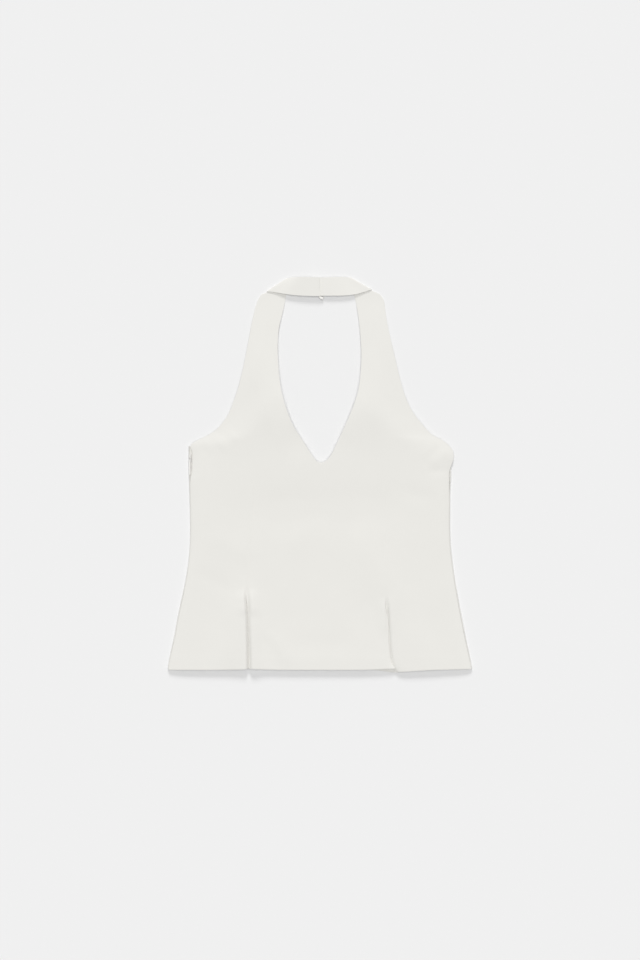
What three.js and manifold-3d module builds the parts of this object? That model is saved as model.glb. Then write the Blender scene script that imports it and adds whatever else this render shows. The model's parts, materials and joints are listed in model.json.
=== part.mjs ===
// A halter-neck peplum top, laid flat on a table with its front up, in millimetres.
// +X is to the viewer's right, +Y runs from the hem towards the neck, and +Z is up off the table.
// Inside this file every place is given as "out" from the centre line and "up" from the hem.
import * as THREE from "three";
import Module from "manifold-3d";
import { mergeVertices } from "three/addons/utils/BufferGeometryUtils.js";

// ---- Driving dimensions ----

const cloth = 1; // thickness of the doubled, faced cloth
const seamGap = 0.3; // space left between two pieces that are sewn together
const layerGap = 0.2; // space between the folded layers of a pleat, and between them and the back
const bodyHeight = 3.0; // middle of the front panel at its side seams
const edgeDrop = { height: 1.8, reach: 12 }; // the front comes down by this much towards the side seams
const strapCrown = { height: 0.7, from: 500, to: 560 }; // a strap's lengthwise arch, flat near the fold
const vTip = { x: 1.6, up: 310 }; // bottom of the V neck
const strapArch = { from: vTip.up - 30, to: vTip.up + 60 }; // here the body's arch becomes the straps' two

// How high the middle of the front's cloth lies, up the garment. "inner" is its height from the centre out,
// and along the neck edges. "edge" is its height at the side seams and the armhole edges.
const lie = [
  { up: 0, inner: bodyHeight, edge: bodyHeight },
  { up: 285, inner: bodyHeight, edge: bodyHeight },
  { up: 320, inner: 3.9, edge: bodyHeight },
  { up: 360, inner: 5.4, edge: bodyHeight },
  { up: 395, inner: 6.0, edge: 3.2 },
  { up: 430, inner: 5.4, edge: 3.4 },
  { up: 480, inner: 3.6, edge: 2.8 },
  { up: 530, inner: 1.6, edge: 1.6 },
  { up: 560, inner: cloth / 2, edge: cloth / 2 },
  { up: 600, inner: cloth / 2, edge: cloth / 2 },
];
const lieReach = 60; // the edge's height has given way to the inner one this far in

// The hem of the front stands off the back, except beside the side seams, where it comes down from
// "flatFrom" of the way across. The lift has gone at the height "end".
const hemLift = { height: 0.9, end: 90, flatFrom: 0.8 };
const hemShiftEnd = 55; // the hem's fall and rise below the hem line has gone at this height

const rimRadius = (bodyHeight - cloth / 2) / 2; // the back turns up round the side to meet the front
const seamInset = cloth / 2 + rimRadius + seamGap; // from the outline in to the edge of the front

const backHem = 1.5; // the back's hem sits just inside the front's
const backTopCentre = 308.5; // top edge of the back at the centre line
const backTopRise = 27; // how much higher that edge is at the underarms
const bodyHalfWidth = 197;
const flatEdgeInset = 4; // above the turned-up side, the back's edge lies this much further in

const bandRollRadius = 0.75; // of the strap where it turns over at the side of the neck
const bandSteps = 4; // strips across the neck band

// One block for each side of the garment:
// "seam" is the side seam, and "armhole" and "neckline" are the strap's two edges,
// "fold" is the pleat's visible edge, with the depth of cloth hidden behind it,
// "groove" is how wide the cloth comes down to the fold, on the centre panel's side and on the side panel's,
// "hemShift" is how far the side panel's hem, and the centre panel's over it, lie above the hem line, or
// below it where negative,
// "turnover" is the slanted line on which the strap folds over, from its armhole edge to its neck edge, and
// the height at which the armhole edge turns in to meet it,
// "edgeInset" is how far in from the outline the front's edge is sewn to the back, which on the left stands
// back round the zip's slider, and the back's turned-up side stops at "rimEnd".
const left = {
  sign: -1,
  seam: [
    { up: 0, out: 228.7 },
    { up: 20, out: 225.6 },
    { up: 44, out: 219.8 },
    { up: 80, out: 213.2 },
    { up: 110, out: 206.8 },
    { up: 140, out: 200.6 },
    { up: 165, out: 197 },
    { up: 190, out: 195 },
    { up: 240, out: 195.2 },
    { up: 274, out: 196.2 },
    { up: 292, out: 197 },
    { up: 336.5, out: 197.3 },
  ],
  armhole: [
    { up: 336.5, out: 195.1 },
    { up: 341, out: 189.8 },
    { up: 346, out: 180 },
    { up: 350, out: 170.8 },
    { up: 356, out: 159.8 },
    { up: 368, out: 147.8 },
    { up: 384, out: 136.5 },
    { up: 404, out: 129 },
    { up: 428, out: 120.8 },
    { up: 476, out: 110.4 },
    { up: 524, out: 101.4 },
    { up: 543, out: 97 },
    { up: 553, out: 94.2 },
    { up: 562, out: 88.6 },
    { up: 567, out: 81.5 },
  ],
  neckline: [
    { up: 310, out: -1.6 },
    { up: 311.5, out: 3 },
    { up: 314, out: 6.6 },
    { up: 318, out: 9.4 },
    { up: 324, out: 13.4 },
    { up: 332, out: 18.7 },
    { up: 344, out: 26.2 },
    { up: 368, out: 41.2 },
    { up: 392, out: 50.6 },
    { up: 416, out: 57.8 },
    { up: 440, out: 61.2 },
    { up: 476, out: 63.6 },
    { up: 512, out: 62.2 },
    { up: 536, out: 55.6 },
    { up: 560, out: 51 },
    { up: 588, out: 48.6 },
  ],
  fold: [
    { up: 0, out: 106.3, depth: 36 },
    { up: 60, out: 106.9, depth: 24 },
    { up: 86, out: 108, depth: 14 },
    { up: 106, out: 109.8, depth: 7 },
  ],
  groove: { centre: 4, side: 5.5 },
  hemShift: [
    { out: 60, side: 2, centre: 0 },
    { out: 84, side: 2.4, centre: 0.8 },
    { out: 106, side: 1.7, centre: 1.5 },
    { out: 116, side: 0.3, centre: 1.5 },
    { out: 130, side: 0, centre: 1.5 },
    { out: 229, side: 0, centre: 1.5 },
  ],
  turnover: { armOut: 80, armUp: 568, neckOut: 49, neckUp: 588, shoulderUp: 562.5 },
  edgeInset: [
    { up: 286, out: seamInset },
    { up: 293, out: 5.4 },
    { up: 300, out: 5.7 },
    { up: 328, out: 5.7 },
    { up: 333, out: 3 },
    { up: 336.5, out: seamInset },
  ],
  rimEnd: 360,
};

const right = {
  sign: 1,
  seam: [
    { up: 0, out: 228.7 },
    { up: 20, out: 224.8 },
    { up: 44, out: 219.4 },
    { up: 80, out: 212.4 },
    { up: 110, out: 206.8 },
    { up: 140, out: 201.6 },
    { up: 165, out: 198.4 },
    { up: 190, out: 195.6 },
    { up: 240, out: 195.2 },
    { up: 280, out: 195.8 },
    { up: 300, out: 198 },
    { up: 315, out: 201 },
    { up: 323, out: 200.8 },
    { up: 329, out: 198.8 },
  ],
  armhole: [
    { up: 329, out: 198.8 },
    { up: 334, out: 195.2 },
    { up: 338.5, out: 191 },
    { up: 342, out: 186.4 },
    { up: 346, out: 181 },
    { up: 351, out: 168.8 },
    { up: 358, out: 161.6 },
    { up: 368, out: 153.4 },
    { up: 384, out: 139.8 },
    { up: 404, out: 129.2 },
    { up: 428, out: 121.8 },
    { up: 476, out: 110.4 },
    { up: 524, out: 99.8 },
    { up: 543, out: 97.2 },
    { up: 554, out: 96.4 },
    { up: 560, out: 93.4 },
    { up: 566, out: 86 },
    { up: 570, out: 79.5 },
  ],
  neckline: [
    { up: 310, out: 1.6 },
    { up: 311.5, out: 6 },
    { up: 314, out: 9.8 },
    { up: 318, out: 13.6 },
    { up: 324, out: 18 },
    { up: 332, out: 21.6 },
    { up: 344, out: 27.4 },
    { up: 368, out: 38.6 },
    { up: 392, out: 48.8 },
    { up: 416, out: 57.2 },
    { up: 440, out: 60.8 },
    { up: 476, out: 62.4 },
    { up: 512, out: 59.6 },
    { up: 536, out: 56.6 },
    { up: 560, out: 52 },
    { up: 588, out: 45.6 },
  ],
  fold: [
    { up: 0, out: 113, depth: 34 },
    { up: 8, out: 107.8, depth: 31 },
    { up: 22, out: 105.3, depth: 28 },
    { up: 44, out: 102.8, depth: 23 },
    { up: 80, out: 101.2, depth: 13 },
    { up: 96, out: 97.6, depth: 6 },
  ],
  groove: { centre: 4, side: 7 },
  hemShift: [
    { out: 0, side: 0, centre: 0 },
    { out: 60, side: 0, centre: 0 },
    { out: 80, side: 0, centre: 0.4 },
    { out: 109, side: -4, centre: 1.8 },
    { out: 127, side: -2.3, centre: 2.2 },
    { out: 154, side: -0.9, centre: 2.2 },
    { out: 181, side: 0.6, centre: 2.2 },
    { out: 229, side: 1.2, centre: 2.2 },
  ],
  turnover: { armOut: 77.5, armUp: 570.6, neckOut: 45.8, neckUp: 588.8, shoulderUp: 563.5 },
  edgeInset: [
    { up: 270, out: seamInset },
    { up: 286, out: 3.4 },
    { up: 296, out: 4.4 },
    { up: 304, out: 3.4 },
    { up: 318, out: 0.6 },
    { up: 329, out: 0 },
  ],
  rimEnd: 298,
};

// The neck band from the turned-over fold to its end at the centre back. "low" is the strap's armhole edge,
// which lies nearest the garment, and "high" is its neck edge. "Rise" is the height of the cloth's middle.
const bandLeft = [
  { lowOut: 67, lowUp: 566, lowRise: 2.1, highOut: 41, highUp: 588.4, highRise: 3.1 },
  { lowOut: 53, lowUp: 563, lowRise: 4.2, highOut: 33, highUp: 588.6, highRise: 5 },
  { lowOut: 36, lowUp: 560.8, lowRise: 4.8, highOut: 23, highUp: 588.5, highRise: 5.3 },
  { lowOut: 18, lowUp: 560, lowRise: 5.1, highOut: 12, highUp: 588.2, highRise: 5.2 },
  { lowOut: -0.4, lowUp: 559.8, lowRise: 5.1, highOut: 1, highUp: 588, highRise: 5.1 },
];
const bandRight = [
  { lowOut: 64, lowUp: 565.4, lowRise: 2.1, highOut: 37, highUp: 588.8, highRise: 2.3 },
  { lowOut: 50, lowUp: 561.6, lowRise: 3.7, highOut: 28, highUp: 588.8, highRise: 2.8 },
  { lowOut: 32, lowUp: 560.4, lowRise: 4.3, highOut: 19, highUp: 588.6, highRise: 3.1 },
  { lowOut: 12, lowUp: 560.3, lowRise: 4.1, highOut: 9, highUp: 588.2, highRise: 3.2 },
  { lowOut: 0, lowUp: 560.5, lowRise: 3.6, highOut: 0, highUp: 587.9, highRise: 3.4 },
  { lowOut: -14, lowUp: 561, lowRise: 3.4, highOut: -14, highUp: 587.4, highRise: 3.4 },
];

// The concealed zip in the left side seam.
const zip = {
  pullOut: 195, // middle of the pull
  bottom: 150, // where the chain ends inside the seam
  chainTop: 326,
  chainSteps: 12,
  chainOut: [190, 195.2],
  chainHeight: [1.5, 2.1],
  slider: { low: 312.5, high: 323.5, inner: 193, outer: 196.2, bottom: 3.8, top: 4.6 },
  foot: { outer: 194.7, bottom: 2.4 }, // of the slider, down to the chain
  bridge: { length: 4.2, wall: 0.8, height: 2, width: 0.8, sunk: 0.4 },
  pull: { tip: 292, width: 2, thickness: 0.8, eye: 2.9, bar: 0.9, drop: 1, play: 0.25 },
};

// The hook and eye that join the two halves of the neck band.
const hook = { x: 2.3, up: 557.2, z: 2.75, tilt: -28, width: 3.4, reach: 7, strip: 0.6, bend: 0.8 };
const eye = { seat: 0.1, aside: 1.5, across: 2.3, along: 4, wire: 0.3 };

// Heights of the mesh rows: the body from hem to V tip, and each strap from V tip to turnover.
const bodyRows = [
  0, 8, 18, 31, 45, 60, 74, 84, 92, 99, 106, 112, 119, 129, 143, 160, 180, 202, 226, 250, 270, 286, 297,
  vTip.up,
];
const leftStrapRows = [
  311.5, 314, 318, 324, 330, 336.5, 341, 345.5, 350, 356, 364, 374, 388, 404, 424, 446, 470, 494, 516, 534,
  547, 556,
];
const rightStrapRows = [
  311.5, 314, 318, 324, 329, 334, 338.5, 342, 346, 351, 358, 368, 380, 396, 416, 440, 468, 494, 516, 534,
  547, 556,
];
const backTopRows = [318, 327, 335.5];

// Columns of the front's mesh, from the centre line out.
const centreSteps = 3; // strips across half the centre panel, as far as the groove
const innerColumns = [4, 1.6, 0]; // distances in from the pleat's first turn
const turnSteps = 2; // strips round each turn of a pleat
const tuck = { flat: 0.5, folded: 0.92 }; // how near the side panel's hidden column comes to the next one
const outerColumns = [0.6, 2.8, 6]; // distances out from the fold
const edgeColumns = [12, 5, 0]; // distances in from the front's edge

// ---- Small helpers ----

function ease(from, to, value) {
  return THREE.MathUtils.smoothstep(value, from, to);
}

// A smooth line through a table: it gives the named column at any value of the table's key column.
function lineThrough(table, column, key = "up") {
  const line = new THREE.CubicInterpolant(
    table.map((row) => row[key]),
    table.map((row) => row[column]),
    1,
  );
  return (value) => line.evaluate(value)[0];
}

// The way cloth runs as it bends: each step turns by an angle and goes on by a length.
// Positive turns go down. It gives how far out and how far down each point is from the start.
function clothPath(steps) {
  let heading = 0;
  let out = 0;
  let down = 0;
  const points = [];
  for (const step of steps) {
    heading += step.turn / 2;
    out += step.length * Math.cos(heading);
    down += step.length * Math.sin(heading);
    heading += step.turn / 2;
    points.push({ out, down });
  }
  return points;
}

// The steps of one turn through an angle, along a fixed length of cloth.
function turnOf(angle, length, count) {
  const step = angle / count;
  const flat = length / count;
  const chord = Math.abs(step) < 1e-6 ? flat : (flat * Math.sin(step / 2)) / (step / 2);
  return Array.from({ length: count }, () => ({ turn: step, length: chord }));
}

// A closed wall of cloth from sheets of points. Each sheet is a list of rows, and sheets join where their
// points meet. "flip" marks a sheet whose columns run the other way, so that its upper face still looks up.
function clothWall(sheets, thickness = cloth) {
  const points = [];
  const numberOf = new Map();
  const faces = [];
  function pointNumber(point) {
    const key = point.toArray().map((value) => Math.round(value * 1e3)).join();
    if (!numberOf.has(key)) {
      numberOf.set(key, points.length);
      points.push(point);
    }
    return numberOf.get(key);
  }
  for (const { rows, flip } of sheets) {
    const grid = rows.map((row) => row.map(pointNumber));
    for (let r = 0; r + 1 < grid.length; r++) {
      for (let c = 0; c + 1 < grid[r].length; c++) {
        const ring = [grid[r][c], grid[r][c + 1], grid[r + 1][c + 1], grid[r + 1][c]];
        faces.push(flip ? ring.reverse() : ring);
      }
    }
  }
  const normals = points.map(() => new THREE.Vector3());
  for (const [a, b, c, d] of faces) {
    const across = points[c].clone().sub(points[a]);
    const other = points[d].clone().sub(points[b]);
    const normal = across.cross(other).normalize();
    for (const corner of [a, b, c, d]) normals[corner].add(normal);
  }
  const count = points.length;
  const position = new Float32Array(count * 6);
  points.forEach((point, i) => {
    const half = normals[i].normalize().multiplyScalar(thickness / 2);
    point.clone().add(half).toArray(position, i * 3);
    point.clone().sub(half).toArray(position, (count + i) * 3);
  });
  const index = [];
  function quad(a, b, c, d) {
    index.push(a, b, c, a, c, d);
  }
  const edges = new Set(faces.flatMap((ring) => ring.map((a, k) => a + "," + ring[(k + 1) % 4])));
  // Both faces of the wall are cut into triangles along each cell's longer diagonal.
  for (const ring of faces) {
    const [p, q, r, s] = ring;
    const turned = points[p].distanceTo(points[r]) < points[q].distanceTo(points[s]);
    const [a, b, c, d] = turned ? [q, r, s, p] : ring;
    quad(a, b, c, d);
    quad(count + c, count + b, count + a, count + d);
    ring.forEach((from, k) => {
      const to = ring[(k + 1) % 4];
      if (!edges.has(to + "," + from)) quad(to, from, count + from, count + to);
    });
  }
  const geometry = new THREE.BufferGeometry();
  geometry.setAttribute("position", new THREE.BufferAttribute(position, 3));
  geometry.setIndex(index);
  return geometry;
}

// ---- Front ----

for (const side of [left, right]) {
  side.seamOut = lineThrough(side.seam, "out");
  side.armholeOut = lineThrough(side.armhole, "out");
  side.necklineOut = lineThrough(side.neckline, "out");
  side.foldOut = lineThrough(side.fold, "out");
  side.foldDepth = lineThrough(side.fold, "depth");
  side.hemShiftSide = lineThrough(side.hemShift, "side", "out");
  side.hemShiftCentre = lineThrough(side.hemShift, "centre", "out");
  side.edgeInsetOut = lineThrough(side.edgeInset, "out");
  side.underarm = side.seam.at(-1).up;
}

const lieInner = lineThrough(lie, "inner");
const lieEdge = lineThrough(lie, "edge");

function sewnEdge(side, up) {
  return side.seamOut(up) - side.edgeInsetOut(up);
}

// Height of the front's middle where nothing is folded under it. "across" runs from the centre line, or from
// the neck edge of a strap, to the outer edge, over the given width.
function frontHeight(up, across, width) {
  const fromEdge = (1 - across) * width;
  const inBody = 1 - ease(strapArch.from, strapArch.to, up);
  const overBody = edgeDrop.height * Math.sin((Math.PI / 2) * Math.min(1, fromEdge / edgeDrop.reach));
  const crown = strapCrown.height * (1 - ease(strapCrown.from, strapCrown.to, up));
  const overStrap = crown * (1 - (2 * across - 1) ** 2);
  const hem = hemLift.height * (1 - ease(0, hemLift.end, up)) * (1 - ease(hemLift.flatFrom, 1, across));
  const base = THREE.MathUtils.lerp(lieEdge(up), lieInner(up), ease(0, lieReach, fromEdge));
  return Math.max(base, cloth / 2) + THREE.MathUtils.lerp(overStrap, overBody, inBody) + hem;
}

// Places from an inner one out to the edge: evenly spaced, and then the edge columns.
function evenColumns(inner, edge, count) {
  const evenSteps = count - edgeColumns.length;
  return Array.from({ length: count }, (_, i) => {
    if (i > evenSteps) return edge - edgeColumns[i - evenSteps];
    return THREE.MathUtils.lerp(inner, edge - edgeColumns[0], i / evenSteps);
  });
}

// A pleat's turns and its hidden strip. Towards its top the strip narrows to almost nothing, and then the
// layers open out flat.
const foldStep = cloth + layerGap; // from the middle of one layer to the middle of the next
const foldFoot = cloth + layerGap + cloth / 2; // height of the lowest layer's middle
const openOut = { from: -6, to: 13, turnShare: 0.35 };
const narrow = { from: -16, to: -3, width: 0.8 };
const evenOut = { from: 125, to: 215 }; // above the pleats the columns spread out evenly

// One row of the front from the centre line out to one side, as points.
function frontRow(side, up) {
  const { lerp, clamp } = THREE.MathUtils;
  const foldTop = side.fold.at(-1).up;
  const folded = 1 - ease(foldTop + openOut.from, foldTop + openOut.to, up);
  const gone = ease(foldTop + narrow.from, foldTop + narrow.to, up);
  const depth = lerp(side.foldDepth(up), narrow.width, gone);
  const angle = Math.PI * folded;
  const turnLength = ((Math.PI * foldStep) / 2) * lerp(openOut.turnShare, 1, folded);
  const path = clothPath([
    ...turnOf(angle, turnLength, turnSteps),
    { turn: 0, length: depth },
    ...turnOf(-angle, turnLength, turnSteps),
  ]);
  const drop = path.at(-1).down;
  const fold = side.foldOut(up);
  const start = fold - foldStep / 2;
  const hemFade = 1 - ease(0, hemShiftEnd, up);
  const edge = sewnEdge(side, up + side.hemShift.at(-1).side * hemFade);
  const centre = side.sign * vTip.x;

  // "rise" is how much of its full height a column has, and "foot" is the height it rises from.
  const columns = [];
  for (let i = 0; i < centreSteps; i++) {
    const out = lerp(centre, start - innerColumns[0], i / centreSteps);
    columns.push({ out, foot: 0, rise: 1, lower: 0 });
  }
  for (const distance of innerColumns) {
    const rise = ease(0, side.groove.centre, distance);
    columns.push({ out: start - distance, foot: foldFoot + drop, rise, lower: 0 });
  }
  for (const point of path) {
    const foot = foldFoot + drop - point.down;
    columns.push({ out: start + point.out, foot, rise: 0, lower: point.down / (drop || 1) });
  }
  const pathEnd = columns.at(-1).out;
  const grooveStart = Math.max(pathEnd, fold);
  const hidden = lerp(pathEnd, grooveStart + outerColumns[0], lerp(tuck.flat, tuck.folded, folded));
  columns.push({ out: hidden, foot: foldFoot, rise: 0, lower: 1 });
  for (const distance of outerColumns) {
    const rise = ease(outerColumns[0], outerColumns[0] + side.groove.side, distance);
    columns.push({ out: grooveStart + distance, foot: foldFoot, rise, lower: 1 });
  }
  const sideMiddle = (columns.at(-1).out + edge - edgeColumns[0]) / 2;
  for (const out of [sideMiddle, ...edgeColumns.map((distance) => edge - distance)]) {
    columns.push({ out, foot: foldFoot, rise: 1, lower: 1 });
  }

  const even = evenColumns(centre, edge, columns.length);
  const evenly = ease(evenOut.from, evenOut.to, up);
  return columns.map(({ out, foot, rise, lower }, i) => {
    const place = lerp(out, even[i], evenly);
    const across = clamp((place - centre) / (edge - centre), 0, 1);
    const hang = across > 0 ? lerp(side.hemShiftCentre(place), side.hemShiftSide(place), lower) : 0;
    const full = frontHeight(up, across, edge - centre);
    return new THREE.Vector3(
      side.sign * place,
      up + hang * hemFade,
      lerp(full, lerp(foot, full, rise), folded),
    );
  });
}

// One row of a strap, from its neck edge out to its armhole edge. Near the top the row leans over to lie
// along the turnover.
const strapLean = { from: 520, power: 1.6 };

function strapRow(side, up) {
  const { armUp, neckUp } = side.turnover;
  const lean = Math.max(0, (up - strapLean.from) / (armUp - strapLean.from)) ** strapLean.power;
  const upNeck = up <= strapLean.from ? up : strapLean.from + lean * (neckUp - strapLean.from);
  const belowArm = up < side.underarm;
  const armOut = belowArm ? sewnEdge(side, up) : side.armholeOut(up);
  return rowBetween(
    side,
    { out: side.necklineOut(upNeck), up: upNeck },
    { out: armOut, up },
  );
}

const pleatColumns = innerColumns.length + 2 * turnSteps + 2 + outerColumns.length;
const columnCount = centreSteps + pleatColumns + 1 + edgeColumns.length;

function rowBetween(side, neck, arm) {
  const width = Math.hypot(arm.out - neck.out, arm.up - neck.up);
  return evenColumns(0, width, columnCount).map((distance) => {
    const across = distance / width;
    const x = side.sign * THREE.MathUtils.lerp(neck.out, arm.out, across);
    const up = THREE.MathUtils.lerp(neck.up, arm.up, across);
    return new THREE.Vector3(x, up, frontHeight(up, across, width));
  });
}

// The turnover line moved in by a distance towards the strap, as its neck end and its armhole end.
function turnoverLine(side, inset) {
  const { armOut, armUp, neckOut, neckUp } = side.turnover;
  const length = Math.hypot(armOut - neckOut, armUp - neckUp);
  const inward = { out: (neckUp - armUp) / -length, up: (armOut - neckOut) / -length };
  return {
    neck: { out: neckOut + inward.out * inset, up: neckUp + inward.up * inset },
    arm: { out: armOut + inward.out * inset, up: armUp + inward.up * inset },
    inward,
  };
}

const rollDepth = bandRollRadius + cloth / 2;

// The strap's end runs along the turnover, and its last strip turns down to the armhole edge.
function strapEndRow(side) {
  const { neck, arm } = turnoverLine(side, rollDepth + 2 * seamGap);
  const length = Math.hypot(arm.out - neck.out, arm.up - neck.up);
  const past = 1 + edgeColumns.at(-2) / length;
  const row = rowBetween(side, neck, {
    out: THREE.MathUtils.lerp(neck.out, arm.out, past),
    up: THREE.MathUtils.lerp(neck.up, arm.up, past),
  });
  const { shoulderUp } = side.turnover;
  row.at(-1).set(side.sign * side.armholeOut(shoulderUp), shoulderUp, cloth / 2);
  return row;
}

function frontHalf(side, strapRows) {
  return {
    rows: [
      ...bodyRows.map((up) => frontRow(side, up)),
      ...strapRows.map((up) => strapRow(side, up)),
      strapEndRow(side),
    ],
    flip: side === left,
  };
}

function makeFront() {
  return clothWall([frontHalf(left, leftStrapRows), frontHalf(right, rightStrapRows)]);
}

// ---- Back ----

const backSteps = 7;
const rimSteps = 4;

function backTop(x) {
  return backTopCentre + backTopRise * (x / bodyHalfWidth) ** 2;
}

// The back's turned-up side at one height, from the flat out to its edge, as distances and heights.
function rim(side, up) {
  const curl = up < side.rimEnd ? 1 : 0;
  const path = clothPath(turnOf(-Math.PI * curl, Math.PI * rimRadius, rimSteps));
  const reach = Math.max(...path.map((point) => point.out));
  const outline = side.seamOut(Math.min(up, side.underarm));
  const start = outline - cloth / 2 - reach - flatEdgeInset * (1 - curl);
  return [{ out: start, up: 0 }, ...path.map((point) => ({ out: start + point.out, up: -point.down }))];
}

function makeBack() {
  const rows = [];
  const sideTop = backTop(bodyHalfWidth);
  for (const up of [backHem, ...bodyRows.slice(1), ...backTopRows]) {
    const share = (up - backHem) / (sideTop - backHem);
    const heightAt = (x) => THREE.MathUtils.lerp(backHem, backTop(x), share);
    const [leftRim, rightRim] = [left, right].map((side) => rim(side, heightAt(side.sign * bodyHalfWidth)));
    const inner = Array.from({ length: backSteps - 1 }, (_, i) => {
      return { x: THREE.MathUtils.lerp(-leftRim[0].out, rightRim[0].out, (i + 1) / backSteps), z: 0 };
    });
    const row = [
      ...leftRim.map((point) => ({ x: -point.out, z: point.up })).reverse(),
      ...inner,
      ...rightRim.map((point) => ({ x: point.out, z: point.up })),
    ];
    rows.push(row.map(({ x, z }) => new THREE.Vector3(x, heightAt(x), cloth / 2 + z)));
  }
  return clothWall([{ rows, flip: false }]);
}

// ---- Neck band ----

// One half of the band: it starts against the strap's end, rolls over it and runs on to its last station.
function makeBand(side, stations) {
  const { neck, arm, inward } = turnoverLine(side, rollDepth);
  const rollSteps = 3;
  const rows = [];
  for (let i = 0; i <= rollSteps; i++) {
    const turned = (Math.PI * i) / rollSteps;
    const away = -bandRollRadius * Math.sin(turned);
    const z = cloth / 2 + bandRollRadius * (1 - Math.cos(turned));
    rows.push({
      low: { out: arm.out + inward.out * away, up: arm.up + inward.up * away, z },
      high: { out: neck.out + inward.out * away, up: neck.up + inward.up * away, z },
    });
  }
  for (const s of stations) {
    rows.push({
      low: { out: s.lowOut, up: s.lowUp, z: s.lowRise },
      high: { out: s.highOut, up: s.highUp, z: s.highRise },
    });
  }
  const points = rows.map(({ low, high }) =>
    Array.from({ length: bandSteps + 1 }, (_, i) => {
      const share = i / bandSteps;
      return new THREE.Vector3(
        side.sign * THREE.MathUtils.lerp(low.out, high.out, share),
        THREE.MathUtils.lerp(low.up, high.up, share),
        THREE.MathUtils.lerp(low.z, high.z, share),
      );
    }),
  );
  return clothWall([{ rows: points, flip: side === left }]);
}

// ---- Zip ----

const wasm = await Module();
wasm.setup();

function solidFrom(geometry) {
  const bare = geometry.index ? geometry.toNonIndexed() : geometry.clone();
  bare.deleteAttribute("normal");
  bare.deleteAttribute("uv");
  const merged = mergeVertices(bare, 1e-4);
  return new wasm.Manifold(
    new wasm.Mesh({
      numProp: 3,
      vertProperties: merged.attributes.position.array,
      triVerts: new Uint32Array(merged.index.array),
    }),
  );
}

function joined(...geometries) {
  const made = geometries.map(solidFrom).reduce((all, next) => all.add(next)).getMesh();
  const geometry = new THREE.BufferGeometry();
  geometry.setAttribute("position", new THREE.BufferAttribute(new Float32Array(made.vertProperties), 3));
  geometry.setIndex(new THREE.BufferAttribute(new Uint32Array(made.triVerts), 1));
  return geometry;
}

function box(x, y, z) {
  const geometry = new THREE.BoxGeometry(x[1] - x[0], y[1] - y[0], z[1] - z[0]);
  return geometry.translate((x[0] + x[1]) / 2, (y[0] + y[1]) / 2, (z[0] + z[1]) / 2);
}

function makeZipChain() {
  const [inner, outer] = zip.chainOut;
  const rows = [];
  for (let i = 0; i <= zip.chainSteps; i++) {
    const up = THREE.MathUtils.lerp(zip.bottom, zip.chainTop, i / zip.chainSteps);
    const shift = left.seamOut(up) - left.seamOut(zip.chainTop);
    const middle = (zip.chainHeight[0] + zip.chainHeight[1]) / 2;
    rows.push([outer, inner].map((out) => new THREE.Vector3(-(out + shift), up, middle)));
  }
  return clothWall([{ rows, flip: false }], zip.chainHeight[1] - zip.chainHeight[0]);
}

const bridgeUp = (zip.slider.low + zip.slider.high) / 2;
const pinHeight = zip.slider.top + (zip.bridge.height - zip.bridge.wall / 2) / 2;

// The slider is a small plate that stands on the chain, with an arched bridge on top which holds the pull.
function makeZipSlider() {
  const { slider, foot, bridge } = zip;
  const x = [-slider.outer, -slider.inner];
  const post = [-zip.pullOut - bridge.width / 2, -zip.pullOut + bridge.width / 2];
  const low = bridgeUp - bridge.length / 2;
  const high = bridgeUp + bridge.length / 2;
  const roof = slider.top + bridge.height;
  return joined(
    box(x, [slider.low, slider.high], [slider.bottom, slider.top]),
    box([-foot.outer, -slider.inner], [slider.low, slider.high], [foot.bottom, slider.bottom + bridge.sunk]),
    box(post, [low, low + bridge.wall], [slider.top - bridge.sunk, roof]),
    box(post, [high - bridge.wall, high], [slider.top - bridge.sunk, roof]),
    box(post, [low, high], [roof - bridge.wall / 2, roof + bridge.wall / 2]),
  );
}

// The pull is a flat drop-shaped tab with a slot at its head that goes round the bridge.
function makeZipPull() {
  const { pull, bridge } = zip;
  const length = bridgeUp - pull.tip;
  const half = pull.width / 2;
  const outline = new THREE.Shape();
  outline.moveTo(-half, pull.bar / 2);
  outline.lineTo(-half, -length + half);
  outline.absarc(0, -length + half, half, Math.PI, 2 * Math.PI, false);
  outline.lineTo(half, pull.bar / 2);
  outline.closePath();
  const slot = new THREE.Path();
  const slotHalf = bridge.width / 2 + pull.play;
  slot.moveTo(-slotHalf, -pull.bar / 2);
  slot.lineTo(slotHalf, -pull.bar / 2);
  slot.lineTo(slotHalf, -pull.eye);
  slot.lineTo(-slotHalf, -pull.eye);
  slot.closePath();
  outline.holes.push(slot);
  const plate = new THREE.ExtrudeGeometry(outline, {
    depth: pull.thickness,
    bevelEnabled: false,
    curveSegments: 6,
  });
  plate.translate(0, 0, -pull.thickness / 2);
  plate.rotateX(Math.atan(pull.drop / length));
  return plate.translate(-zip.pullOut, bridgeUp, pinHeight);
}

// ---- Neck hook and eye ----

// A flat strip bent back under itself.
function makeHook() {
  const { reach, strip, bend, width } = hook;
  const shape = new THREE.Shape();
  const outer = bend + strip / 2;
  const inner = bend - strip / 2;
  shape.moveTo(0, outer);
  shape.lineTo(reach - outer, outer);
  shape.absarc(reach - outer, 0, outer, Math.PI / 2, -Math.PI / 2, true);
  shape.lineTo(reach / 2, -outer);
  shape.lineTo(reach / 2, -inner);
  shape.lineTo(reach - outer, -inner);
  shape.absarc(reach - outer, 0, inner, -Math.PI / 2, Math.PI / 2, false);
  shape.lineTo(0, inner);
  shape.closePath();
  const strap = new THREE.ExtrudeGeometry(shape, { depth: width, bevelEnabled: false, curveSegments: 6 });
  strap.translate(-reach / 2, 0, -width / 2).rotateX(Math.PI / 2);
  strap.rotateZ(THREE.MathUtils.degToRad(hook.tilt));
  return strap.translate(hook.x, hook.up, hook.z);
}

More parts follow.
